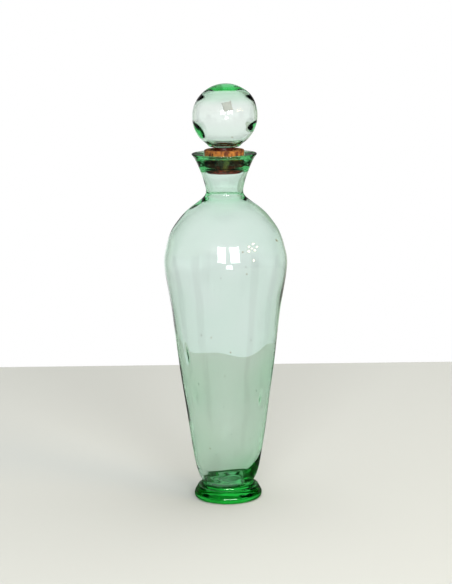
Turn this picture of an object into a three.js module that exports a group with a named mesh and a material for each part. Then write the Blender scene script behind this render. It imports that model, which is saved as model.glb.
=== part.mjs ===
// A hand-made glass bottle with a glass ball stopper set in cork.
// Millimetres, +Z up, with the origin at the middle of the foot's underside.
// Every piece but the label is turned round the Z axis from a half outline of [radius, height] points.
import * as THREE from 'three';

// Facets round each turned piece, and steps along each curved stretch
const FACETS = 36;
const SPAN_STEPS = 2;
const ROLL_STEPS = 8;
const BALL_STEPS = 16;

// Foot: a thick disc on a flat ring round a shallow hollow, with a tight rolled lower edge and a straight
// side that leans in to a small step below the waist
const FOOT_RADIUS = 29.4;
const FOOT_RING_OUTER = 27.2;
const FOOT_RING_INNER = 16;
const UNDERSIDE_HOLLOW = 0.3;
const UNDERSIDE_MIDWAY = 0.2;
const FOOT_WIDEST_HEIGHT = 3.2;
const FOOT_SIDE_LEAN = THREE.MathUtils.degToRad(28);
const FOOT_SIDE_TOP = 9.8;
const FOOT_STEP = [[26.2, 10.3], [25.6, 10.5]];

// Outside of the body, from the foot's step over the pinched waist to the root of the neck
const BODY_OUTSIDE = [
  [24.5, 10.5], [23.4, 11], [22.8, 12.2], [22.6, 14.2], [23.2, 16.4], [24.7, 19.4], [26.2, 23.6],
  [28.6, 33.8], [33.6, 66.3], [38.7, 103.8], [43.2, 135.8], [46.8, 167.8], [50.5, 188.8], [52.9, 207.8],
  [50.9, 220.8], [45.8, 235.8], [34.6, 250.6], [24.6, 258.8], [18.3, 264],
];
// Outside of the neck and of the thick collar, up to the thin lip
const NECK_OUTSIDE = [[16.1, 267.8], [16.3, 271.8], [17.5, 276.8], [19, 281.8], [20.7, 286.8]];
const COLLAR_OUTSIDE = [[21.4, 288.6], [22.8, 292], [24.3, 295.2], [26, 298.2], [27.4, 300]];
const LIP_EDGE = [[27.8, 300.7], [27.5, 301.2], [26.7, 301.4]];
// Inside, from the lip over the nearly flat top and down the throat that grips the cork, to the bowl of
// the base
const COLLAR_TOP = [[23.6, 301], [18.4, 300.6]];
const THROAT_INSIDE = [[17.2, 300.2], [16.9, 297.6], [16.65, 294.8], [16.45, 292.6], [17, 291], [18.3, 289.2]];
const NECK_INSIDE = [[18.7, 287], [18, 284.2], [17, 281.2], [15, 275.4], [13.9, 270.6], [13.7, 266.8], [14.3, 264]];
const BODY_INSIDE = [
  [17.1, 261.6], [23.5, 257.3], [33.5, 249.6], [44.6, 235.1], [49.6, 220.2], [51.6, 207.8], [49.1, 188.8],
  [45.3, 167.8], [41.6, 135.8], [36.5, 103.8], [31.7, 66.3], [26.5, 35.5],
];
const BOWL_INSIDE = [[24, 27], [21.4, 21], [19.2, 16.2], [17.6, 12.8], [15, 10.3], [10, 9.3], [0, 9]];

// Hollow glass ball: a round outside cut flat underneath, and a hollow that leaves a thick crown and thin
// sides. The hollow's points are [radius, height above the ball's centre].
const BALL_RADIUS = 27.7;
const BALL_CENTRE = 332.6;
const BALL_BASE_RADIUS = 15;
const BALL_SEAT_RADIUS = 13;
const BALL_SEAT_HEIGHT = 307.4;
const HOLLOW_CROWN = [[0, 23.5], [5.5, 23.3], [11, 22.2], [15.4, 20], [19, 17.2], [22.6, 13.6], [25.4, 8.8]];
const HOLLOW_MIDDLE = [[26.6, 3.6], [26.8, -0.5], [26.3, -5], [24.6, -10.2], [21.9, -15], [18.6, -18.8]];
const HOLLOW_BASE = [[15, -21.4], [11, -23.2], [7.8, -24.3], [6, -26.4]];

// Blown neck under the ball, open at its end and glued into the cork
const STEM_RADIUS = 8;
const STEM_BORE_RADIUS = 6;
const STEM_END_HEIGHT = 290.2;
const STEM_EDGE = 1;

// Tapered cork with a chamfered end and a blind bore for the stem
const CORK_TOP_RADIUS = 16.9;
const CORK_TOP_HEIGHT = 304.6;
const CORK_SHOULDER_RADIUS = 16;
const CORK_SHOULDER_HEIGHT = 291.2;
const CORK_BOTTOM_RADIUS = 13.4;
const CORK_BOTTOM_HEIGHT = 285.3;
const CORK_EDGE = 0.8;
const CORK_BORE_RADIUS = 9.4;
const CORK_BORE_HEIGHT = 289.4;

// Layer of glue between the stem and the cork's bore
const TOUCHING_GAP = 0.3;
const GLUE_TOP_HEIGHT = 306.9;

// Small bare paper label on the ball, tilted, seen a little above the ball's middle
const LABEL_SIDE = 8.4;
const LABEL_THICKNESS = 0.3;
const LABEL_WAIST = 0.12;
const LABEL_RISE = THREE.MathUtils.degToRad(22.5);
const LABEL_TURN = THREE.MathUtils.degToRad(4);
const LABEL_TILT = THREE.MathUtils.degToRad(13);
const LABEL_STEPS = 6;

const VESSEL_GLASS = { color: 0xcfe6d8, roughness: 0.05, metalness: 0 };
const BALL_GLASS = { color: 0xd8ece2, roughness: 0.05, metalness: 0 };
const CORK_BROWN = { color: 0xa5652a, roughness: 0.85, metalness: 0 };
const GLUE_BROWN = { color: 0x6b2f18, roughness: 0.35, metalness: 0 };
const LABEL_GREY = { color: 0xb9c2b6, roughness: 0.7, metalness: 0 };

const bottle = new THREE.Group();

function toVectors(pairs) {
  return pairs.map(([radius, height]) => new THREE.Vector2(radius, height));
}

// Smooth line through the points given, with the same number of steps between each pair
function smoothRun(pairs) {
  const curve = new THREE.SplineCurve(toVectors(pairs));
  return curve.getPoints(SPAN_STEPS * (pairs.length - 1));
}

// Points along an arc of an ellipse round [radius, height], with its half width and half height
function arcRun(centre, halfWidth, halfHeight, from, to, steps) {
  const arc = new THREE.EllipseCurve(...centre, halfWidth, halfHeight, from, to, to < from);
  return arc.getPoints(steps);
}

function addPiece(name, geometry, look) {
  const piece = new THREE.Mesh(geometry, new THREE.MeshStandardMaterial(look));
  piece.name = name;
  bottle.add(piece);
}

// Turns a half outline round the Z axis. Its outside runs upwards.
function turned(outline) {
  const geometry = new THREE.LatheGeometry(outline, FACETS);
  geometry.rotateX(Math.PI / 2);
  return geometry;
}

function vesselOutline() {
  const underside = toVectors([
    [0, UNDERSIDE_HOLLOW],
    [FOOT_RING_INNER / 2, UNDERSIDE_MIDWAY],
    [FOOT_RING_INNER, 0],
  ]);
  const rollCentre = [FOOT_RING_OUTER, FOOT_WIDEST_HEIGHT];
  const rollWidth = FOOT_RADIUS - FOOT_RING_OUTER;
  const rollEnd = Math.atan((FOOT_WIDEST_HEIGHT / rollWidth) * Math.tan(FOOT_SIDE_LEAN));
  const roll = arcRun(rollCentre, rollWidth, FOOT_WIDEST_HEIGHT, -Math.PI / 2, rollEnd, ROLL_STEPS);
  const sideStart = roll[ROLL_STEPS];
  const sideTop = sideStart.x - (FOOT_SIDE_TOP - sideStart.y) * Math.tan(FOOT_SIDE_LEAN);
  const outside = smoothRun([...FOOT_STEP, ...BODY_OUTSIDE, ...NECK_OUTSIDE]);
  const collar = toVectors([...COLLAR_OUTSIDE, ...LIP_EDGE, ...COLLAR_TOP]);
  const inside = smoothRun([...THROAT_INSIDE, ...NECK_INSIDE, ...BODY_INSIDE, ...BOWL_INSIDE]);
  return [...underside, ...roll, ...toVectors([[sideTop, FOOT_SIDE_TOP]]), ...outside, ...collar, ...inside];
}

function stopperOutline() {
  const baseAngle = -Math.acos(BALL_BASE_RADIUS / BALL_RADIUS);
  const crown = arcRun([0, BALL_CENTRE], BALL_RADIUS, BALL_RADIUS, Math.PI / 2, baseAngle, BALL_STEPS);
  crown[0].x = 0;
  const stem = toVectors([
    [BALL_SEAT_RADIUS, BALL_SEAT_HEIGHT],
    [STEM_RADIUS, BALL_SEAT_HEIGHT],
    [STEM_RADIUS, STEM_END_HEIGHT + STEM_EDGE],
    [STEM_RADIUS - STEM_EDGE, STEM_END_HEIGHT],
    [STEM_BORE_RADIUS, STEM_END_HEIGHT],
  ]);
  const hollow = smoothRun([...HOLLOW_CROWN, ...HOLLOW_MIDDLE, ...HOLLOW_BASE]);
  for (const point of hollow) {
    point.y += BALL_CENTRE;
  }
  return [...hollow, ...stem.reverse(), ...crown.reverse()];
}

function corkOutline() {
  const topTaper = (CORK_TOP_RADIUS - CORK_SHOULDER_RADIUS) / (CORK_TOP_HEIGHT - CORK_SHOULDER_HEIGHT);
  const endTaper = (CORK_SHOULDER_RADIUS - CORK_BOTTOM_RADIUS) / (CORK_SHOULDER_HEIGHT - CORK_BOTTOM_HEIGHT);
  return toVectors([
    [0, CORK_BOTTOM_HEIGHT],
    [CORK_BOTTOM_RADIUS - CORK_EDGE, CORK_BOTTOM_HEIGHT],
    [CORK_BOTTOM_RADIUS + endTaper * CORK_EDGE, CORK_BOTTOM_HEIGHT + CORK_EDGE],
    [CORK_SHOULDER_RADIUS, CORK_SHOULDER_HEIGHT],
    [CORK_TOP_RADIUS - topTaper * CORK_EDGE, CORK_TOP_HEIGHT - CORK_EDGE],
    [CORK_TOP_RADIUS - CORK_EDGE, CORK_TOP_HEIGHT],
    [CORK_BORE_RADIUS, CORK_TOP_HEIGHT],
    [CORK_BORE_RADIUS, CORK_BORE_HEIGHT],
    [0, CORK_BORE_HEIGHT],
  ]);
}

// A ring that closes on itself, so its last point repeats its first
function glueOutline() {
  const inner = STEM_RADIUS + TOUCHING_GAP;
  const outer = CORK_BORE_RADIUS - TOUCHING_GAP;
  const bottom = STEM_END_HEIGHT + STEM_EDGE;
  return toVectors([
    [inner, bottom], [outer, bottom], [outer, GLUE_TOP_HEIGHT], [inner, GLUE_TOP_HEIGHT], [inner, bottom],
  ]);
}

// A closed patch that follows the ball. Its sides are drawn in a little between its corners.
function labelGeometry() {
  const positions = [];
  const faces = [];
  const across = LABEL_STEPS + 1;
  const sheetSize = across * across;
  for (const lift of [TOUCHING_GAP, TOUCHING_GAP + LABEL_THICKNESS]) {
    const radius = BALL_RADIUS + lift;
    for (let row = 0; row < across; row += 1) {
      for (let column = 0; column < across; column += 1) {
        const u = (2 * column) / LABEL_STEPS - 1;
        const v = (2 * row) / LABEL_STEPS - 1;
        const x = u * (1 - LABEL_WAIST * (1 - v * v)) * (LABEL_SIDE / 2);
        const y = v * (1 - LABEL_WAIST * (1 - u * u)) * (LABEL_SIDE / 2);
        const depth = Math.sqrt(radius * radius - x * x - y * y);
        positions.push(x, y, depth);
      }
    }
  }
  function addQuad(a, b, c, d) {
    faces.push(a, b, c, a, c, d);
  }
  for (let row = 0; row < LABEL_STEPS; row += 1) {
    for (let column = 0; column < LABEL_STEPS; column += 1) {
      const corner = row * across + column;
      addQuad(corner, corner + across, corner + across + 1, corner + 1);
      const front = corner + sheetSize;
      addQuad(front, front + 1, front + across + 1, front + across);
    }
  }
  const last = LABEL_STEPS * across;
  for (let step = 0; step < LABEL_STEPS; step += 1) {
    const left = step * across;
    const right = left + LABEL_STEPS;
    addQuad(step, step + 1, step + 1 + sheetSize, step + sheetSize);
    addQuad(last + step + 1, last + step, last + step + sheetSize, last + step + 1 + sheetSize);
    addQuad(left + across, left, left + sheetSize, left + across + sheetSize);
    addQuad(right, right + across, right + across + sheetSize, right + sheetSize);
  }
  const geometry = new THREE.BufferGeometry();
  geometry.setAttribute('position', new THREE.Float32BufferAttribute(positions, 3));
  geometry.setIndex(faces);
  geometry.rotateZ(LABEL_TILT);
  geometry.rotateX(Math.PI / 2 - LABEL_RISE);
  geometry.rotateZ(LABEL_TURN);
  geometry.translate(0, 0, BALL_CENTRE);
  geometry.computeVertexNormals();
  return geometry;
}

addPiece('glass_vessel', turned(vesselOutline()), VESSEL_GLASS);
addPiece('stopper_ball', turned(stopperOutline()), BALL_GLASS);
addPiece('cork_sleeve', turned(corkOutline()), CORK_BROWN);
addPiece('stem_adhesive', turned(glueOutline()), GLUE_BROWN);
addPiece('ball_label', labelGeometry(), LABEL_GREY);

export default bottle;
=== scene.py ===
# %% [markdown]
# A hand-made decanter of pale green glass. It has a solid foot, a thin-walled body and a stopper: a hollow
# glass ball on a tapered cork. Glass has no colour of its own surface. What the eye sees is the room, bent
# and reflected by two close walls and filtered by the green inside them. So the work is in three things:
# true wall thickness, colour that builds up with depth, and a room with both bright and dark sides.

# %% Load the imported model
import math

import bmesh
import bpy
from mathutils import Matrix, Vector, noise


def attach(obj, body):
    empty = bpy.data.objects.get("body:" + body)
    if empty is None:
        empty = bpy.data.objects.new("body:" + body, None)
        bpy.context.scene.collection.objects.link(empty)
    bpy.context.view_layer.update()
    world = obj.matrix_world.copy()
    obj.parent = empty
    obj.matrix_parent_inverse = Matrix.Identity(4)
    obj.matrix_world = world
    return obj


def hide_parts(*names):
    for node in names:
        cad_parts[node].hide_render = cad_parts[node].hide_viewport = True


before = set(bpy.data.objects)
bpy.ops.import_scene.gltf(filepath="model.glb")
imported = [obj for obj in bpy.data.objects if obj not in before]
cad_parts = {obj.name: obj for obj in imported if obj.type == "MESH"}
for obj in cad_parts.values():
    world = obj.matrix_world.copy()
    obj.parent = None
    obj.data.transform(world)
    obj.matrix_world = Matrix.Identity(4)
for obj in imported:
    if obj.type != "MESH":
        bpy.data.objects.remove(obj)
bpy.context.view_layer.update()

# %% [markdown]
# The bottle is seen from a metre and a half away and half a metre up, so the lip is almost edge on and the
# foot is seen from well above. A Track To constraint could aim the camera. Written out as one matrix for
# each move, its pose can be changed one step at a time. It leans by a little over half a degree, as a
# hand-held camera does.

# %% Camera
CAMERA_DISTANCE = 1.55
CAMERA_HEIGHT = 0.4828
CAMERA_PITCH = math.radians(11.0)
CAMERA_ROLL = math.radians(-0.69)
CAMERA_LENS = 113.2
CAMERA_SENSOR = 36.0
CAMERA_NEAR = 0.05
CAMERA_FAR = 50.0
AIM_SIDEWAYS = math.radians(-0.005)

camera_data = bpy.data.cameras.new("studio_camera")
camera_data.lens = CAMERA_LENS
camera_data.sensor_width = CAMERA_SENSOR
camera_data.clip_start = CAMERA_NEAR
camera_data.clip_end = CAMERA_FAR
camera = bpy.data.objects.new("studio_camera", camera_data)
bpy.context.scene.collection.objects.link(camera)
turn_up = Matrix.Rotation(math.pi / 2 - CAMERA_PITCH, 4, "X")
turn_round = Matrix.Rotation(AIM_SIDEWAYS, 4, "Z")
lean = Matrix.Rotation(CAMERA_ROLL, 4, "Z")
place = Matrix.Translation((0.0, -CAMERA_DISTANCE, CAMERA_HEIGHT))
camera.matrix_world = place @ turn_round @ turn_up @ lean
bpy.context.scene.camera = camera
bpy.context.scene.view_settings.view_transform = "Standard"
print("camera at", tuple(round(value, 3) for value in camera.matrix_world.translation))

# %% [markdown]
# A shader is a graph of small nodes. It can be drawn in the editor, but a graph in code gives the same
# result every time. These helpers keep it short: one joins or sets sockets, one makes a smooth step, one
# does a sum and one mixes two colours. The last three give back the socket that they made.

# %% Node helpers
def link(nodes, source, target):
    """Joins two sockets, or sets the target where the source is a plain number or colour."""
    if isinstance(source, (int, float, tuple)):
        target.default_value = source
    else:
        nodes.id_data.links.new(source, target)


def ranged(nodes, value, low, high, to_low, to_high):
    """A smooth step from to_low to to_high as value goes from low to high."""
    step = nodes.new("ShaderNodeMapRange")
    step.interpolation_type = "SMOOTHSTEP"
    ends = {"Value": value, "From Min": low, "From Max": high, "To Min": to_low, "To Max": to_high}
    for name, end in ends.items():
        link(nodes, end, step.inputs[name])
    return step.outputs["Result"]


def calculate(nodes, operation, first, second=0.0):
    step = nodes.new("ShaderNodeMath")
    step.operation = operation
    link(nodes, first, step.inputs[0])
    link(nodes, second, step.inputs[1])
    return step.outputs["Value"]


def mixed(nodes, factor, first, second):
    """A colour that goes from first to second with the factor."""
    mix = nodes.new("ShaderNodeMix")
    mix.data_type = "RGBA"
    for name, value in (("Factor", factor), ("A", first), ("B", second)):
        socket = [entry for entry in mix.inputs if entry.name == name and entry.enabled][0]
        link(nodes, value, socket)
    return [entry for entry in mix.outputs if entry.enabled][0]


# %% [markdown]
# Green glass goes nearly black where it looks into a dark room and pale where it looks at a white wall. So
# the room is a ring of panels: a white wall behind the bottle and one in front, grey walls at the sides,
# cream ones between, and dark gaps, which draw the dark lines along the glass. A pale green step left of
# the middle of the wall behind, and a duller stretch right of it, give the belly its faint upright bands.
# Glowing planes could do this, but the world's nodes need no geometry and can show each kind of ray
# something else.

# %% Panels round the bottle
FRONT_WALL = (0.92, 0.93, 0.92)
GAP = (0.01, 0.012, 0.01)
SIDE_WALL = (0.76, 0.77, 0.75)
DIM_CREAM = (0.62, 0.62, 0.54)
CREAM = (0.84, 0.84, 0.78)
PALE_CREAM = (0.86, 0.86, 0.80)
BRIGHT_WALL = (1.0, 1.0, 1.0)
PANELS = (
    # degrees to the right of the middle of the wall behind the bottle, then the colour there
    (-180.0, FRONT_WALL), (-128.0, FRONT_WALL), (-126.0, GAP), (-110.0, GAP), (-108.0, SIDE_WALL),
    (-75.0, SIDE_WALL), (-73.0, GAP), (-57.0, GAP), (-55.0, DIM_CREAM), (-34.0, CREAM),
    (-30.0, BRIGHT_WALL), (-12.0, BRIGHT_WALL), (-10.5, (0.90, 0.95, 0.91)), (-7.5, (0.88, 0.94, 0.90)),
    (-6.5, BRIGHT_WALL), (8.8, BRIGHT_WALL), (9.4, (0.62, 0.65, 0.58)), (24.0, (0.64, 0.66, 0.57)),
    (32.0, PALE_CREAM), (55.0, DIM_CREAM), (57.0, GAP), (73.0, GAP), (75.0, SIDE_WALL),
    (108.0, SIDE_WALL), (110.0, GAP), (126.0, GAP), (128.0, FRONT_WALL), (180.0, FRONT_WALL),
)

world = bpy.data.worlds.new("studio_room")
bpy.context.scene.world = world
world.use_nodes = True
room = world.node_tree.nodes
room.clear()
direction = room.new("ShaderNodeTexCoord")
parts = room.new("ShaderNodeSeparateXYZ")
link(room, direction.outputs["Generated"], parts.inputs["Vector"])
x_squared = calculate(room, "MULTIPLY", parts.outputs["X"], parts.outputs["X"])
y_squared = calculate(room, "MULTIPLY", parts.outputs["Y"], parts.outputs["Y"])
level = calculate(room, "SQRT", calculate(room, "ADD", x_squared, y_squared))
behind = calculate(room, "DIVIDE", parts.outputs["Y"], level)
azimuth = calculate(room, "ARCTAN2", parts.outputs["X"], parts.outputs["Y"])
ring = room.new("ShaderNodeValToRGB")
link(room, calculate(room, "ADD", calculate(room, "DIVIDE", azimuth, math.tau), 0.5), ring.inputs["Fac"])
stops = ring.color_ramp.elements
for number, (degrees, colour) in enumerate(PANELS):
    place = (degrees + 180.0) / 360.0
    # a new ramp already has two stops
    stop = stops[number] if number < 2 else stops.new(place)
    stop.position = place
    stop.color = (*colour, 1.0)
print("room panels", len(PANELS))

# %% [markdown]
# The walls end above: the side ones low, those in front and behind higher. A narrow patch of the wall
# behind reaches highest of all, because the thick crown of the ball looks there. A direction in the world
# has length one, so its Z is the sine of its rise, and its Y, once level, is the cosine of its turn.
# Comparing those with a sine or a cosine needs fewer nodes than working out the angles.

# %% How high the walls reach
WALL_FULL = math.cos(math.radians(29.5))
WALL_END = math.cos(math.radians(32.5))
WALL_TOP_FULL = math.sin(math.radians(24.0))
WALL_TOP_END = math.sin(math.radians(36.0))
SIDE_TOP_FULL = math.sin(math.radians(5.0))
SIDE_TOP_END = math.sin(math.radians(12.0))
HIGH_PATCH_FULL = math.cos(math.radians(14.0))
HIGH_PATCH_END = math.cos(math.radians(22.0))
HIGH_TOP_FULL = math.sin(math.radians(50.0))
HIGH_TOP_END = math.sin(math.radians(62.0))

wall = ranged(room, calculate(room, "ABSOLUTE", behind), WALL_END, WALL_FULL, 0.0, 1.0)
side_top = ranged(room, parts.outputs["Z"], SIDE_TOP_FULL, SIDE_TOP_END, 1.0, 0.0)
wall_top = ranged(room, parts.outputs["Z"], WALL_TOP_FULL, WALL_TOP_END, 1.0, 0.0)
high_wall = ranged(room, behind, HIGH_PATCH_END, HIGH_PATCH_FULL, 0.0, 1.0)
high_top = ranged(room, parts.outputs["Z"], HIGH_TOP_FULL, HIGH_TOP_END, 1.0, 0.0)
high_patch = calculate(room, "MULTIPLY", high_wall, high_top)
walls = calculate(room, "MAXIMUM", side_top, calculate(room, "MULTIPLY", wall, wall_top))
lit_part = calculate(room, "MAXIMUM", walls, high_patch)
print("nodes in the room", len(room))

# %% [markdown]
# One room for every ray would be simpler, but the outside of the glass would then mirror its bright walls.
# So what a ray sees depends on how it came. A ray that was bent through the glass sees the panels, a little
# dimmer low down. A ray that only bounced off the outside sees a small share of the wall behind the bottle,
# and all of it where it grazes the glass and runs on downwards, as in a room whose near side is dark. Other
# rays carry an even soft light, and the camera itself sees plain white.

# %% What each ray sees
LOW_WALL_FULL = math.sin(math.radians(-11.0))
LOW_WALL_END = math.sin(math.radians(-9.0))
LOW_WALL_SHARE = 0.88
REFLECTED_SHARE = 0.14
BEHIND_FULL = math.cos(math.radians(56.0))
BEHIND_END = math.cos(math.radians(66.0))
GRAZED_FULL = math.cos(math.radians(12.0))
GRAZED_END = math.cos(math.radians(34.0))
GRAZED_LOW = math.sin(math.radians(-5.0))
GRAZED_HIGH = math.sin(math.radians(-1.0))
DARK_ROOM = (0.004, 0.005, 0.004, 1.0)
WHITE = (1.0, 1.0, 1.0, 1.0)
EVEN_LIGHT = 0.6

rays = room.new("ShaderNodeLightPath")
is_through = rays.outputs["Is Transmission Ray"]
reflected_back = ranged(room, behind, BEHIND_END, BEHIND_FULL, 0.0, 1.0)
grazed = ranged(room, behind, GRAZED_END, GRAZED_FULL, 0.0, 1.0)
downwards = ranged(room, parts.outputs["Z"], GRAZED_LOW, GRAZED_HIGH, 1.0, 0.0)
grazed_part = calculate(room, "MULTIPLY", grazed, downwards)
dim_part = calculate(room, "MULTIPLY", reflected_back, REFLECTED_SHARE)
not_through = calculate(room, "SUBTRACT", 1.0, is_through)
either_part = calculate(room, "MAXIMUM", dim_part, grazed_part)
reflected_part = calculate(room, "MULTIPLY", either_part, not_through)
low_wall = ranged(room, parts.outputs["Z"], LOW_WALL_FULL, LOW_WALL_END, LOW_WALL_SHARE, 1.0)
through_part = calculate(room, "MULTIPLY", is_through, low_wall)
shows = calculate(room, "MAXIMUM", through_part, reflected_part)
seen = room.new("ShaderNodeBackground")
seen_panels = mixed(room, calculate(room, "MULTIPLY", lit_part, shows), DARK_ROOM, ring.outputs["Color"])
link(room, seen_panels, seen.inputs["Color"])
even = room.new("ShaderNodeBackground")
even.inputs["Strength"].default_value = EVEN_LIGHT
white = room.new("ShaderNodeBackground")
white.inputs["Color"].default_value = WHITE
through_or_off = calculate(room, "MAXIMUM", rays.outputs["Is Glossy Ray"], is_through)
lit = room.new("ShaderNodeMixShader")
link(room, through_or_off, lit.inputs[0])
link(room, even.outputs[0], lit.inputs[1])
link(room, seen.outputs[0], lit.inputs[2])
shown = room.new("ShaderNodeMixShader")
link(room, rays.outputs["Is Camera Ray"], shown.inputs[0])
link(room, lit.outputs[0], shown.inputs[1])
link(room, white.outputs[0], shown.inputs[2])
world_out = room.new("ShaderNodeOutputWorld")
link(room, shown.outputs[0], world_out.inputs["Surface"])
print("nodes in the finished room", len(room))

# %% [markdown]
# Two windows behind the camera give the pair of white highlights on the belly and the foot. A small pale
# card below them and a cluster of small warm lamps far to the right give the rest. They could be bright
# panels of the room, but a lamp can be hidden from one kind of ray: these show only as the first
# reflection, because through the glass they would come back as long streaks. A wide soft lamp overhead
# fills the table and isn't reflected.

# %% Lamps
WINDOW_AZIMUTHS = (math.radians(-7.5), math.radians(18.6))
WINDOW_WIDTHS = (0.69, 0.80)
WINDOW_DISTANCE = 2.6
WINDOW_LOW = math.radians(12.2)
WINDOW_HIGH = math.radians(28.0)
WINDOW_POWER = 28.0
CARD_AZIMUTH = math.radians(6.5)
CARD_RISE = math.radians(0.8)
CARD_SIZE = (0.58, 0.52)
CARD_POWER = 9.0
SPARK_PLACES = ((50, 24), (61, 25), (55, 21), (67, 20), (48, 18), (61, 17), (55, 13))
SPARK_SIZE = (0.13, 0.08)
SPARK_POWER = 2.4
SPARK_COLOUR = (1.0, 0.72, 0.42)
BELLY = Vector((0.0, 0.0, 0.218))
OVERHEAD_PLACE = (0.5, 0.3, 2.2)
OVERHEAD_SIZE = 2.4
OVERHEAD_POWER = 30.0


def around_belly(azimuth, rise):
    """A place one window distance from the belly, at an angle to the right of the camera and a rise."""
    return BELLY + WINDOW_DISTANCE * Vector((
        math.sin(azimuth) * math.cos(rise),
        -math.cos(azimuth) * math.cos(rise),
        math.sin(rise),
    ))


def add_lamp(name, place, size, power, in_reflections):
    lamp_data = bpy.data.lights.new(name, "AREA")
    lamp_data.shape = "RECTANGLE"
    lamp_data.size = size[0]
    lamp_data.size_y = size[1]
    lamp_data.energy = power
    lamp = bpy.data.objects.new(name, lamp_data)
    lamp.location = place
    lamp.rotation_euler = (BELLY - Vector(place)).to_track_quat("-Z", "Y").to_euler()
    lamp.visible_camera = False
    lamp.visible_glossy = in_reflections
    lamp.visible_transmission = False
    bpy.context.scene.collection.objects.link(lamp)
    return lamp


window_rise = (WINDOW_LOW + WINDOW_HIGH) / 2
window_tall = 2 * WINDOW_DISTANCE * math.tan((WINDOW_HIGH - WINDOW_LOW) / 2)
for number, (azimuth, wide) in enumerate(zip(WINDOW_AZIMUTHS, WINDOW_WIDTHS), 1):
    add_lamp(f"window_{number}", around_belly(azimuth, window_rise), (wide, window_tall), WINDOW_POWER, True)
add_lamp("low_card", around_belly(CARD_AZIMUTH, CARD_RISE), CARD_SIZE, CARD_POWER, True)
for number, (azimuth, rise) in enumerate(SPARK_PLACES, 1):
    place = around_belly(math.radians(azimuth), math.radians(rise))
    spark = add_lamp(f"spark_{number}", place, SPARK_SIZE, SPARK_POWER, True)
    spark.data.color = SPARK_COLOUR
add_lamp("overhead", OVERHEAD_PLACE, (OVERHEAD_SIZE, OVERHEAD_SIZE), OVERHEAD_POWER, False)
print("lamps", [light.name for light in bpy.data.lights])

# %% [markdown]
# The table is a plain pale cloth that ends half a metre behind the bottle, where the white wall begins. Its
# far edge shows through the glass, bent upwards by the wedge of the walls. A wall could be a second plane,
# but the world is already white, so one face is enough. In reflections the cloth is nearly black, which
# keeps the rim of the foot dark. A ray bent through glass counts as glossy too, so a true reflection is one
# that is glossy and isn't a transmission ray.

# %% Table
TABLE_BACK = 0.50
TABLE_FRONT = -3.0
TABLE_HALF_WIDTH = 3.0
TABLE_DROP = 0.0002
CLOTH_ROUGHNESS = 0.9
CLOTH_PALE = (0.60, 0.615, 0.575, 1.0)
CLOTH_IN_REFLECTIONS = (0.03, 0.032, 0.03, 1.0)


def plain_material(name, colour, roughness):
    material = bpy.data.materials.new(name)
    material.use_nodes = True
    shader = material.node_tree.nodes["Principled BSDF"]
    shader.inputs["Base Color"].default_value = colour
    shader.inputs["Roughness"].default_value = roughness
    return material


def object_from(name, shape, material):
    """Makes a bmesh a shown object with one material, and frees the bmesh."""
    mesh = bpy.data.meshes.new(name)
    shape.to_mesh(mesh)
    shape.free()
    mesh.materials.append(material)
    piece = bpy.data.objects.new(name, mesh)
    bpy.context.scene.collection.objects.link(piece)
    return piece


table_shape = bmesh.new()
table_half = (TABLE_HALF_WIDTH, (TABLE_BACK - TABLE_FRONT) / 2, 1.0)
bmesh.ops.create_grid(table_shape, x_segments=1, y_segments=1, size=1.0)
bmesh.ops.scale(table_shape, vec=table_half, verts=table_shape.verts)
table_middle = (0.0, (TABLE_BACK + TABLE_FRONT) / 2, -TABLE_DROP)
bmesh.ops.translate(table_shape, vec=table_middle, verts=table_shape.verts)
table_material = plain_material("pale_cloth", CLOTH_PALE, CLOTH_ROUGHNESS)
cloth_nodes = table_material.node_tree.nodes
cloth_rays = cloth_nodes.new("ShaderNodeLightPath")
reflected = calculate(cloth_nodes, "SUBTRACT", cloth_rays.outputs["Is Glossy Ray"],
                      cloth_rays.outputs["Is Transmission Ray"])
cloth_colour = mixed(cloth_nodes, reflected, CLOTH_PALE, CLOTH_IN_REFLECTIONS)
link(cloth_nodes, cloth_colour, cloth_nodes["Principled BSDF"].inputs["Base Color"])
table = object_from("table_cloth", table_shape, table_material)
print("table", tuple(round(value, 2) for value in table.dimensions))

# %% [markdown]
# The bottle, the ball, the cork and the glue were turned from half outlines in the CAD model. They could be
# drawn again as curves, but then the two models might differ. So each outline is read back from the model's
# own mesh, and the fine glass lies exactly where the facets are.

# %% Outlines
ON_PLANE = 1e-5
WELD = 1e-6


def cad_outline(node):
    """The half outline of a turned CAD node as (radius, height), from its lowest point, closed on a ring."""
    shape = bmesh.new()
    shape.from_mesh(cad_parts[node].data)
    bmesh.ops.remove_doubles(shape, verts=shape.verts, dist=WELD)
    steps = {}
    for edge in shape.edges:
        if all(abs(v.co.x) < ON_PLANE and v.co.y < ON_PLANE for v in edge.verts):
            first, second = edge.verts
            steps.setdefault(first, []).append(second)
            steps.setdefault(second, []).append(first)
    ends = [vert for vert, others in steps.items() if len(others) == 1]
    here = min(ends or steps, key=lambda vert: vert.co.z)
    outline = [here]
    before = None
    while True:
        onward = [vert for vert in steps[here] if vert is not before]
        if not onward:
            break
        before, here = here, onward[0]
        outline.append(here)
        if here is outline[0]:
            break
    points = [(math.hypot(vert.co.x, vert.co.y), vert.co.z) for vert in outline]
    shape.free()
    return points


for node in ("glass_vessel", "stopper_ball", "cork_sleeve", "stem_adhesive"):
    print(node, "outline points", len(cad_outline(node)))

# %% [markdown]
# A Subdivision Surface could round the facets off, but it pulls thin walls inwards. A curve that runs
# through every point of the outline doesn't. Sharp corners are cut first, as fire polishing rounds them,
# and a long straight stretch gets a holding point near each end. These work as holding loops do on a
# subdivided mesh: the curve bends only beside the corner, and the stretch stays straight.

# %% Smooth lines
SHARP_TURN = math.radians(50.0)
CORNER_CUT = 0.0005
LARGEST_CUT = 1 / 3
LONG_STRETCH = 2.5
VESSEL_STEPS = 3


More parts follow.
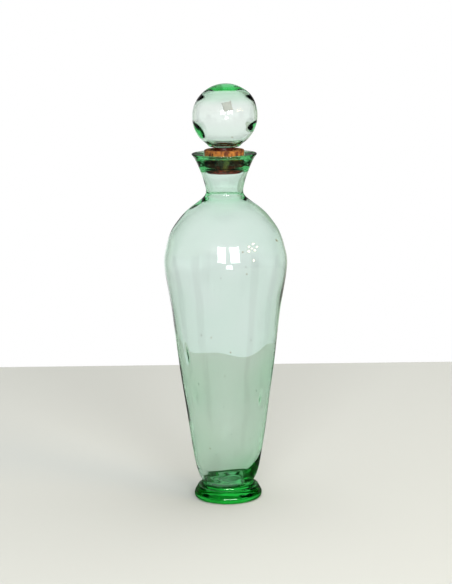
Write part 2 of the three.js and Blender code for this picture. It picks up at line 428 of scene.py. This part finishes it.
def corners_cut(path):
    cut = [path[0]]
    for before, here, after in zip(path, path[1:], path[2:]):
        if (here - before).angle(after - here) > SHARP_TURN:
            for neighbour in (before, after):
                arm = neighbour - here
                cut.append(here + arm.normalized() * min(CORNER_CUT, arm.length * LARGEST_CUT))
        else:
            cut.append(here)
    return cut + [path[-1]]


def stretches_held(path):
    spans = [(second - first).length for first, second in zip(path, path[1:])]
    held = [path[0]]
    for number, (first, second) in enumerate(zip(path, path[1:])):
        before = spans[max(number - 1, 0)]
        after = spans[min(number + 1, len(spans) - 1)]
        if spans[number] > LONG_STRETCH * before:
            held.append(first.lerp(second, before / spans[number]))
        if spans[number] > LONG_STRETCH * after:
            held.append(second.lerp(first, after / spans[number]))
        held.append(second)
    return held


def smoothed(points, steps):
    """A centripetal curve through the points, as a list of (radius, height)."""
    path = stretches_held(corners_cut([Vector(point) for point in points]))
    path = [2 * path[0] - path[1]] + path + [2 * path[-1] - path[-2]]
    smooth = [points[0]]
    for first, start, end, last in zip(path, path[1:], path[2:], path[3:]):
        at_start = math.sqrt((start - first).length)
        at_end = at_start + math.sqrt((end - start).length)
        at_last = at_end + math.sqrt((last - end).length)
        for step in range(1, steps + 1):
            here = at_start + (at_end - at_start) * step / steps
            share = (here - at_start) / (at_end - at_start)
            before = first.lerp(start, here / at_start)
            between = start.lerp(end, share)
            after = end.lerp(last, (here - at_end) / (at_last - at_end))
            from_before = before.lerp(between, here / at_end)
            to_after = between.lerp(after, (here - at_start) / (at_last - at_start))
            smooth.append(tuple(from_before.lerp(to_after, share)))
    return smooth


vessel_line = smoothed(cad_outline("glass_vessel"), VESSEL_STEPS)
vessel_line = [(radius, max(height, 0.0)) for radius, height in vessel_line]
print("vessel outline smoothed to", len(vessel_line), "points")

# %% [markdown]
# Glass like this is blown and turned on an iron, so it is round apart from small swells. A Screw modifier
# could turn the outline, but the spin operator copies a vertex layer to every new ring, and the layer here
# remembers which points belong to the inner wall. That wall starts where the vessel's outline turns over
# the lip. Smooth noise then says how far each point moves, and those swells bend whatever is seen through
# them.

# %% Turned and shaped by hand
VESSEL_SIDES = 192
SWELL_SIZE = 0.042
SWELL_SHARED = 0.00045
SWELL_INSIDE = 0.00038
INSIDE_SIZE = 0.026
INSIDE_SEED = Vector((7.3, 2.1, 4.7))


def fade(value, low, high):
    """A smooth step from 0 at low to 1 at high."""
    share = min(max((value - low) / (high - low), 0.0), 1.0)
    return share * share * (3.0 - 2.0 * share)


def turned(outline, sides, first_inside=None):
    """Spins a half outline round the Z axis. Points from first_inside on are marked as the inner wall."""
    shape = bmesh.new()
    inner_wall = shape.verts.layers.float.new("inner_wall")
    verts = [shape.verts.new((0.0, -max(radius, 0.0), height)) for radius, height in outline]
    if first_inside:
        for vert in verts[first_inside:]:
            vert[inner_wall] = 1.0
    edges = [shape.edges.new(pair) for pair in zip(verts, verts[1:])]
    bmesh.ops.spin(shape, geom=verts + edges, cent=(0, 0, 0), axis=(0, 0, 1), angle=math.tau,
                   steps=sides, use_merge=True)
    bmesh.ops.remove_doubles(shape, verts=shape.verts, dist=WELD)
    bmesh.ops.recalc_face_normals(shape, faces=shape.faces)
    return shape


def swell(vert, inner_wall, share):
    """How far out hand work moved this point of the glass."""
    shared = SWELL_SHARED * noise.noise(vert.co / SWELL_SIZE)
    alone = SWELL_INSIDE * noise.noise(vert.co / INSIDE_SIZE + INSIDE_SEED) * vert[inner_wall]
    return share * (shared + alone)


def outward(vert):
    flat = Vector((vert.co.x, vert.co.y, 0.0))
    return flat.normalized() if flat.length > ON_PLANE else Vector((0.0, 0.0, 0.0))


lip_number = max(range(len(vessel_line)), key=lambda number: vessel_line[number][1])
vessel_shape = turned(vessel_line, VESSEL_SIDES, lip_number)
inner_wall = vessel_shape.verts.layers.float["inner_wall"]
inner_count = sum(1 for vert in vessel_shape.verts if vert[inner_wall])
print("vessel points", len(vessel_shape.verts), "of them on the inner wall", inner_count)

# %% [markdown]
# Every finish here is patchy: ripples, smudges and dried specks on glass, grain and pores in cork, clouds
# in glue, fibres and stains in paper. Pictures could show them, but noise in the object's own coordinates
# has no seams and needs no unwrapping. So one node group makes such noise, and each material places it with
# its own values. Scale counts features per metre, and a Squeeze below one draws them out. The group puts
# out the plain noise, and a mask that goes from nothing at Start to all at Full.

# %% Shared node group
GROUP_INPUTS = (
    ("Scale", "NodeSocketFloat", 1.0), ("Detail", "NodeSocketFloat", 0.0),
    ("Squeeze", "NodeSocketVector", (1.0, 1.0, 1.0)), ("Start", "NodeSocketFloat", 0.0),
    ("Full", "NodeSocketFloat", 1.0),
)

patches = bpy.data.node_groups.new("surface_patches", "ShaderNodeTree")
for name, kind, value in GROUP_INPUTS:
    socket = patches.interface.new_socket(name, in_out="INPUT", socket_type=kind)
    socket.default_value = value
for name in ("Noise", "Mask"):
    patches.interface.new_socket(name, in_out="OUTPUT", socket_type="NodeSocketFloat")
patch_nodes = patches.nodes
given = patch_nodes.new("NodeGroupInput").outputs
coordinates = patch_nodes.new("ShaderNodeTexCoord")
mapping = patch_nodes.new("ShaderNodeMapping")
link(patch_nodes, coordinates.outputs["Object"], mapping.inputs["Vector"])
link(patch_nodes, given["Squeeze"], mapping.inputs["Scale"])
texture = patch_nodes.new("ShaderNodeTexNoise")
link(patch_nodes, mapping.outputs["Vector"], texture.inputs["Vector"])
link(patch_nodes, given["Scale"], texture.inputs["Scale"])
link(patch_nodes, given["Detail"], texture.inputs["Detail"])
mask = ranged(patch_nodes, texture.outputs["Fac"], given["Start"], given["Full"], 0.0, 1.0)
put_out = patch_nodes.new("NodeGroupOutput").inputs
link(patch_nodes, texture.outputs["Fac"], put_out["Noise"])
link(patch_nodes, mask, put_out["Mask"])
print("shared group", patches.name, [socket.name for socket in patches.interface.items_tree])


def placed(nodes, values):
    """Places the shared group in a material with its own values, and gives back its outputs."""
    patch = nodes.new("ShaderNodeGroup")
    patch.node_tree = patches
    for name, value in values.items():
        patch.inputs[name].default_value = value
    return patch.outputs


def bumped(nodes, height, distance):
    bump = nodes.new("ShaderNodeBump")
    bump.inputs["Distance"].default_value = distance
    link(nodes, height, bump.inputs["Height"])
    return bump.outputs["Normal"]


# %% [markdown]
# The real glass is green all through, and darker the thicker it is. A green surface would look the same
# over thick and thin walls, so the surface stays clear and the volume absorbs: density and colour together
# set how fast each colour fades, red fastest, then blue, and green slowest. A faint film of dust and lime
# lies on each surface, cleaner on the ball, with a few brown specks where drops dried. Light that runs
# round inside thick glass is reflected many times before it gets out. With the usual limit of four it would
# end black, so the limit is raised here.

# %% Glass
GLASS_IOR = 1.51
RED_LOSS = 76.0
GREEN_LOSS = 13.0
BLUE_LOSS = 54.0
LOSS_SCALE = 100.0
VESSEL_FILM = (0.970, 0.965, 0.985, 1.0)
BALL_FILM = (1.0, 0.990, 1.0, 1.0)
DRIED_BROWN = (0.42, 0.28, 0.15, 1.0)
RIPPLES = {"Scale": 95.0, "Detail": 1.0, "Squeeze": (1.0, 1.0, 0.22)}
RIPPLE_HEIGHT = 0.000012
SMUDGES = {"Scale": 38.0, "Detail": 4.0, "Start": 0.56, "Full": 0.72}
SMUDGE_ROUGHNESS = 0.045
SPECKS = {"Scale": 150.0, "Detail": 1.0, "Start": 0.795, "Full": 0.815}
INNER_REFLECTIONS = 8


def glass_material(name, film):
    material = bpy.data.materials.new(name)
    material.use_nodes = True
    nodes = material.node_tree.nodes
    shader = nodes["Principled BSDF"]
    specks = placed(nodes, SPECKS)["Mask"]
    link(nodes, mixed(nodes, specks, film, DRIED_BROWN), shader.inputs["Base Color"])
    shader.inputs["IOR"].default_value = GLASS_IOR
    shader.inputs["Transmission Weight"].default_value = 1.0
    smudges = placed(nodes, SMUDGES)["Mask"]
    link(nodes, calculate(nodes, "MULTIPLY", smudges, SMUDGE_ROUGHNESS), shader.inputs["Roughness"])
    ripples = placed(nodes, RIPPLES)["Noise"]
    link(nodes, bumped(nodes, ripples, RIPPLE_HEIGHT), shader.inputs["Normal"])
    absorb = nodes.new("ShaderNodeVolumeAbsorption")
    kept = [1.0 - loss / LOSS_SCALE for loss in (RED_LOSS, GREEN_LOSS, BLUE_LOSS)]
    absorb.inputs["Color"].default_value = (*kept, 1.0)
    absorb.inputs["Density"].default_value = LOSS_SCALE
    link(nodes, absorb.outputs["Volume"], nodes["Material Output"].inputs["Volume"])
    return material


vessel_glass = glass_material("vessel_glass", VESSEL_FILM)
ball_glass = glass_material("ball_glass", BALL_FILM)
bpy.context.scene.cycles.glossy_bounces = INNER_REFLECTIONS
bpy.context.scene.cycles.max_bounces = 2 * INNER_REFLECTIONS
print("loss per metre of red, green and blue", RED_LOSS, GREEN_LOSS, BLUE_LOSS)

# %% [markdown]
# Each finished piece stands in for its CAD node: it takes the node's place, a material slot, and the body
# that it moves with. Smooth shading is set on every face here, because the fine pieces need no hard edges.

# %% Into the frame
def put_in_frame(piece, node, body):
    for face in piece.data.polygons:
        face.use_smooth = True
    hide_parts(node)
    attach(piece, body)
    print(node, len(piece.data.polygons), "faces")


# %% [markdown]
# Foot, body, neck and collar were joined hot, so they are one piece of glass. The bowl sits a little off
# the middle, because it was pressed by eye: the foot is thicker on the right. Here and there a lump makes
# the wall thicker and works as a lens. Lumps could be sculpted, but with a place and a size for each they
# can be moved one by one. A few seeds, small bubbles drawn long by the blowing, lie inside the wall. Each
# is a hollow, so its faces look inwards.

# %% Vessel
BOWL_SHIFT = Vector((-0.0017, 0.0003, 0.0))
BOWL_TILT = 0.065
BOWL_TOP = 0.045
BOWL_FLOOR = 0.012
STEADY_LOW = 0.278
STEADY_HIGH = 0.288
THICK_SPOTS = (
    # degrees to the right of the front, height, half width, half height, depth into the bottle
    (-54.0, 0.1310, 0.0034, 0.0085, 0.0011), (84.0, 0.1140, 0.0040, 0.0110, 0.0013),
    (-90.0, 0.2575, 0.0090, 0.0042, 0.0010), (-48.0, 0.0960, 0.0060, 0.0055, 0.0013),
    (56.0, 0.0920, 0.0055, 0.0045, 0.0012), (180.0, 0.2630, 0.0240, 0.0038, 0.0015),
    (54.0, 0.1180, 0.0220, 0.0300, 0.0010),
)
SEEDS = (
    # degrees round from the right, height, radius from the axis, size
    (-118.0, 0.1525, 0.0443, 0.00042), (-62.0, 0.1475, 0.0440, 0.00036), (-84.0, 0.0640, 0.0323, 0.00030),
    (-101.0, 0.1930, 0.0506, 0.00026), (-71.0, 0.2120, 0.0518, 0.00030), (-128.0, 0.1080, 0.0386, 0.00040),
    (-49.0, 0.1010, 0.0378, 0.00044), (-95.0, 0.0890, 0.0359, 0.00024), (-78.0, 0.1730, 0.0470, 0.00022),
    (-110.0, 0.0450, 0.0290, 0.00028), (40.0, 0.1300, 0.0419, 0.00040), (95.0, 0.1840, 0.0488, 0.00034),
    (150.0, 0.0760, 0.0340, 0.00036), (-60.0, 0.0052, 0.0240, 0.00034), (-112.0, 0.0060, 0.0225, 0.00040),
)
SEED_LENGTH = 2.0
SEED_CUTS = 3


def spot_depth(vert, spot):
    """How thick one lump of the inner wall is at this point, nothing a full half width away from it."""
    degrees, height, half_width, half_height, depth = spot
    turn = math.radians(degrees)
    out = outward(vert)
    across = (out.x * math.cos(turn) + out.y * math.sin(turn)) * math.hypot(vert.co.x, vert.co.y)
    if out.x * math.sin(turn) - out.y * math.cos(turn) < 0.0:
        return 0.0
    away = math.hypot(across / half_width, (vert.co.z - height) / half_height)
    return depth * (1.0 - fade(away, 0.0, 1.0))


for vert in vessel_shape.verts:
    steady = fade(vert.co.z, BOWL_FLOOR, BOWL_TOP) * (1.0 - fade(vert.co.z, STEADY_LOW, STEADY_HIGH))
    thicker = sum(spot_depth(vert, spot) for spot in THICK_SPOTS) if vert[inner_wall] else 0.0
    vert.co += outward(vert) * (swell(vert, inner_wall, steady) - thicker)
    if vert[inner_wall] and vert.co.z < BOWL_TOP:
        share = 1.0 - fade(vert.co.z, BOWL_FLOOR, BOWL_TOP)
        vert.co += share * (BOWL_SHIFT + Vector((0.0, 0.0, BOWL_TILT * vert.co.x)))
for degrees, height, radius, size in SEEDS:
    turn = math.radians(degrees)
    place = Vector((radius * math.cos(turn), radius * math.sin(turn), height))
    stretch = Matrix.LocRotScale(place, None, Vector((size, size, size * SEED_LENGTH)))
    seed = bmesh.ops.create_icosphere(vessel_shape, subdivisions=SEED_CUTS, radius=1.0, matrix=stretch)
    seed_faces = {face for vert in seed["verts"] for face in vert.link_faces}
    bmesh.ops.reverse_faces(vessel_shape, faces=list(seed_faces))
vessel = object_from("vessel_glass_skin", vessel_shape, vessel_glass)
put_in_frame(vessel, "glass_vessel", "bottle")

# %% [markdown]
# The ball was blown on its own neck and glued in by hand, so it leans a little. A plain sphere would be
# quicker, but it has no stem and no crown. A shallow bulge high on the right keeps the ball from being
# quite round. Its hollow isn't round either: low on each side the wall stayed thick. Those thick places are
# the dark green crescents.

# %% Ball
BALL_SIDES = 128
BALL_STEPS = 3
LEAN_START = 0.300
LEAN = 0.030
THICK_PLACES = (
    # side, then where it starts, is thickest and ends above the table, then how thick it gets
    (-1.0, 0.3130, 0.3205, 0.3300, 0.0021),
    (1.0, 0.3195, 0.3245, 0.3295, 0.0017),
)
THICK_HALF_WIDTH = math.radians(50.0)
BULGE_TOWARDS = Vector((0.72, -0.35, 0.60)).normalized()
BULGE_HEIGHT = 0.0008
BULGE_SPREAD = 0.86

ball_line = smoothed(cad_outline("stopper_ball"), BALL_STEPS)
hollow_line = ball_line[:next(n for n, point in enumerate(ball_line) if point[1] < LEAN_START)]
print("ball outline points", len(ball_line), "of them on the hollow", len(hollow_line))


def leaned(place):
    return place + Vector((LEAN * max(place.z - LEAN_START, 0.0), 0.0, 0.0))


ball_shape = turned(ball_line[::-1], BALL_SIDES, len(ball_line) - len(hollow_line))
inner_wall = ball_shape.verts.layers.float["inner_wall"]
ball_wide = max(ball_line, key=lambda point: point[0])
ball_middle = Vector((0.0, 0.0, ball_wide[1]))
for vert in ball_shape.verts:
    out = outward(vert)
    vert.co += out * swell(vert, inner_wall, fade(vert.co.z, LEAN_START, ball_middle.z))
    bulge = fade((vert.co - ball_middle).normalized().dot(BULGE_TOWARDS), BULGE_SPREAD, 1.0)
    vert.co += bulge * BULGE_HEIGHT * BULGE_TOWARDS
    if vert[inner_wall]:
        for side, start, thickest, end, depth in THICK_PLACES:
            band = fade(vert.co.z, start, thickest) * (1.0 - fade(vert.co.z, thickest, end))
            beside = fade(side * out.x, math.cos(THICK_HALF_WIDTH), 1.0)
            vert.co -= band * beside * depth * out
    vert.co = leaned(vert.co)
ball = object_from("ball_glass_skin", ball_shape, ball_glass)
put_in_frame(ball, "stopper_ball", "stopper")

# %% [markdown]
# The cork is tapered and has a bore for the stem. It is spun like the glass. A Displace modifier could
# crumble it, but that would fill the bore with crumbs. So only points in the outer half move: the side a
# little, and the top of the rim more, as corks wear where they are pulled.

# %% Cork shape
CORK_SIDES = 120
CORK_STEPS = 5
CORK_FULLER = 0.00016
CORK_CRUMB = 0.00055
CRUMB_SIZE = 0.0022
CRUMB_BELOW = 0.5
RIM_LOW = 0.2990
RIM_HIGH = 0.3008

cork_shape = turned(smoothed(cad_outline("cork_sleeve"), CORK_STEPS), CORK_SIDES)
cork_top = max(vert.co.z for vert in cork_shape.verts)
cork_wide = max(vert.co.x for vert in cork_shape.verts)
for vert in cork_shape.verts:
    if math.hypot(vert.co.x, vert.co.y) > cork_wide / 2:
        crumb = noise.noise(vert.co / CRUMB_SIZE)
        worn = fade(vert.co.z, RIM_HIGH, cork_top)
        vert.co += outward(vert) * (CORK_FULLER + CORK_CRUMB * min(crumb, 0.0) * (CRUMB_BELOW + worn))
        vert.co.z += CORK_CRUMB * worn * min(crumb, 0.0)
print("cork half width", round(cork_wide, 4), "top", round(cork_top, 4))

# %% [markdown]
# Cork is fine cells with dark pores across the grain, so its colours follow two noises. Behind the glass it
# is wet and dark red, nearly black on the left and towards the top. A painted patch of light, where light
# through the collar falls on the cork, runs down its front. These zones could be painted on a picture. Masks
# made from the place on the piece do the same without one, and the noise of the grain makes the edges of the
# painted light ragged.

# %% Wet cork
CORK_DEEP = (0.060, 0.003, 0.003, 1.0)
CORK_BRIGHT = (0.30, 0.030, 0.016, 1.0)
CORK_ROUGHNESS = 0.85
GRAIN = {"Scale": 300.0, "Detail": 5.0, "Squeeze": (1.0, 1.0, 0.6), "Start": 0.38, "Full": 0.60}
GRAIN_MIDDLE = 0.5
RAGGED_EDGE = 0.002
DARKER_LEFT_FULL = -0.0135
DARKER_LEFT_END = -0.0045
DARKER_TOP_START = 0.2880
DARKER_TOP_FULL = 0.2975
DARKENED_SHARE = 0.05
# painted light: a pale patch down the front half of the cork, where light through the collar falls on it
PAINTED_LIGHT_COLOUR = (0.40, 0.21, 0.06, 1.0)
PAINTED_LIGHT_PLACE = 0.0015
PAINTED_LIGHT_HALF_WIDTH = 0.0035
PAINTED_LIGHT_LOW = 0.2885
PAINTED_LIGHT_STRENGTH = 0.75

cork_material = plain_material("cork", CORK_DEEP, CORK_ROUGHNESS)
cork_nodes = cork_material.node_tree.nodes
cork_shader = cork_nodes["Principled BSDF"]
grain = placed(cork_nodes, GRAIN)["Mask"]
cork_place = cork_nodes.new("ShaderNodeTexCoord")
cork_parts = cork_nodes.new("ShaderNodeSeparateXYZ")
link(cork_nodes, cork_place.outputs["Object"], cork_parts.inputs["Vector"])
grain_swing = calculate(cork_nodes, "SUBTRACT", grain, GRAIN_MIDDLE)
ragged = calculate(cork_nodes, "MULTIPLY", grain_swing, RAGGED_EDGE)
ragged_side = calculate(cork_nodes, "ADD", cork_parts.outputs["X"], ragged)
# the painted patch of light, only on the front half of the cork
from_painted_light = calculate(cork_nodes, "SUBTRACT", ragged_side, PAINTED_LIGHT_PLACE)
off_painted_light = calculate(cork_nodes, "ABSOLUTE", from_painted_light)
in_painted_light = ranged(cork_nodes, off_painted_light, 0.0, PAINTED_LIGHT_HALF_WIDTH, PAINTED_LIGHT_STRENGTH, 0.0)
facing = calculate(cork_nodes, "LESS_THAN", cork_parts.outputs["Y"], 0.0)
above = ranged(cork_nodes, cork_parts.outputs["Z"], PAINTED_LIGHT_LOW, PAINTED_LIGHT_LOW + PAINTED_LIGHT_HALF_WIDTH, 0.0, 1.0)
painted_light = calculate(cork_nodes, "MULTIPLY", calculate(cork_nodes, "MULTIPLY", in_painted_light, facing), above)
less_left = ranged(cork_nodes, cork_parts.outputs["X"], DARKER_LEFT_FULL, DARKER_LEFT_END, DARKENED_SHARE, 1.0)
less_high = ranged(cork_nodes, cork_parts.outputs["Z"], DARKER_TOP_START, DARKER_TOP_FULL, 1.0, DARKENED_SHARE)
not_darkened = calculate(cork_nodes, "MULTIPLY", less_left, less_high)
redness = calculate(cork_nodes, "MULTIPLY", grain, not_darkened)
wet_plain = mixed(cork_nodes, redness, CORK_DEEP, CORK_BRIGHT)
wet_colour_and_painted_light = mixed(cork_nodes, painted_light, wet_plain, PAINTED_LIGHT_COLOUR)
print("nodes for the wet cork", len(cork_nodes))

# %% [markdown]
# Above the lip the cork is dry and orange-brown, with an edge as ragged as its grain. A second material
# could make the rim, but its edge would follow the faces. The pores come last, over every colour, and both
# noises raise and lower the surface.

# %% Dry rim and pores
CORK_RIM = (0.13, 0.028, 0.005, 1.0)
CORK_RIM_PALE = (0.44, 0.155, 0.022, 1.0)
PORES = {"Scale": 520.0, "Detail": 3.0, "Squeeze": (1.0, 1.0, 0.45), "Start": 0.60, "Full": 0.68}
PORE_DARK = (0.012, 0.004, 0.002, 1.0)
CORK_BUMP = 0.0003

ragged_height = calculate(cork_nodes, "ADD", cork_parts.outputs["Z"], ragged)
dry = ranged(cork_nodes, ragged_height, RIM_LOW, RIM_HIGH, 0.0, 1.0)
dry_colour = mixed(cork_nodes, grain, CORK_RIM, CORK_RIM_PALE)
cork_colour = mixed(cork_nodes, dry, wet_colour_and_painted_light, dry_colour)
pore = placed(cork_nodes, PORES)["Mask"]
link(cork_nodes, mixed(cork_nodes, pore, cork_colour, PORE_DARK), cork_shader.inputs["Base Color"])
cork_height = calculate(cork_nodes, "SUBTRACT", grain, pore)
link(cork_nodes, bumped(cork_nodes, cork_height, CORK_BUMP), cork_shader.inputs["Normal"])
cork = object_from("cork_skin", cork_shape, cork_material)
put_in_frame(cork, "cork_sleeve", "stopper")

# %% [markdown]
# The glue that holds the stem is a soft-edged ring of dark brown resin with trapped dust. It shows only in
# the narrow gap between the ball and the cork, and through the ball. So plain resin, cloudy in patches, is
# enough, and it needs no light passing through it.

# %% Glue
GLUE_SIDES = 72
GLUE_STEPS = 3
GLUE_DARK = (0.03, 0.003, 0.002, 1.0)
GLUE_PALE = (0.13, 0.014, 0.007, 1.0)
CLOUDS = {"Scale": 420.0, "Detail": 3.0}
CLOUD_LOW = 0.3
CLOUD_HIGH = 0.7
CLEAR_ROUGHNESS = 0.15
CLOUDY_ROUGHNESS = 0.45
GLUE_BUMP = 0.0002

glue_shape = turned(smoothed(cad_outline("stem_adhesive"), GLUE_STEPS), GLUE_SIDES)
glue_material = plain_material("adhesive", GLUE_DARK, CLEAR_ROUGHNESS)
glue_nodes = glue_material.node_tree.nodes
cloudy = placed(glue_nodes, CLOUDS)["Noise"]
glue_shader = glue_nodes["Principled BSDF"]
link(glue_nodes, mixed(glue_nodes, cloudy, GLUE_DARK, GLUE_PALE), glue_shader.inputs["Base Color"])
glue_roughness = ranged(glue_nodes, cloudy, CLOUD_LOW, CLOUD_HIGH, CLEAR_ROUGHNESS, CLOUDY_ROUGHNESS)
link(glue_nodes, glue_roughness, glue_shader.inputs["Roughness"])
link(glue_nodes, bumped(glue_nodes, cloudy, GLUE_BUMP), glue_shader.inputs["Normal"])
glue = object_from("glue_skin", glue_shape, glue_material)
put_in_frame(glue, "stem_adhesive", "stopper")

# %% [markdown]
# The label is a small patch of grey, fibrous paper with paler stains, stuck on the ball. A new grid could
# be wrapped round the ball, but a copy of the CAD patch already has the right curve. It gets finer faces,
# so that its paper can cockle, and it leans with the ball.

# %% Label
LABEL_CUTS = 2
COCKLE_SIZE = 0.0035
COCKLE_HEIGHT = 0.00009
PAPER_GREY = (0.19, 0.21, 0.19, 1.0)
PAPER_PALE = (0.30, 0.33, 0.30, 1.0)
PAPER_ROUGHNESS = 0.75
FIBRES = {"Scale": 900.0, "Detail": 4.0, "Squeeze": (1.0, 1.0, 0.3)}
FIBRE_BUMP = 0.0001
STAINS = {"Scale": 160.0, "Detail": 3.0, "Start": 0.35, "Full": 0.65}

label_shape = bmesh.new()
label_shape.from_mesh(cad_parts["ball_label"].data)
bmesh.ops.remove_doubles(label_shape, verts=label_shape.verts, dist=WELD)
bmesh.ops.recalc_face_normals(label_shape, faces=label_shape.faces)
bmesh.ops.subdivide_edges(label_shape, edges=label_shape.edges, cuts=LABEL_CUTS, use_grid_fill=True)
for vert in label_shape.verts:
    rise = (vert.co - ball_middle).normalized()
    vert.co += rise * COCKLE_HEIGHT * noise.noise(vert.co / COCKLE_SIZE)
    vert.co = leaned(vert.co)
label_material = plain_material("label_paper", PAPER_GREY, PAPER_ROUGHNESS)
label_nodes = label_material.node_tree.nodes
fibres = placed(label_nodes, FIBRES)["Noise"]
stains = placed(label_nodes, STAINS)["Mask"]
label_shader = label_nodes["Principled BSDF"]
paper = mixed(label_nodes, stains, PAPER_GREY, PAPER_PALE)
link(label_nodes, mixed(label_nodes, fibres, paper, PAPER_PALE), label_shader.inputs["Base Color"])
link(label_nodes, bumped(label_nodes, fibres, FIBRE_BUMP), label_shader.inputs["Normal"])
label = object_from("label_skin", label_shape, label_material)
put_in_frame(label, "ball_label", "stopper")
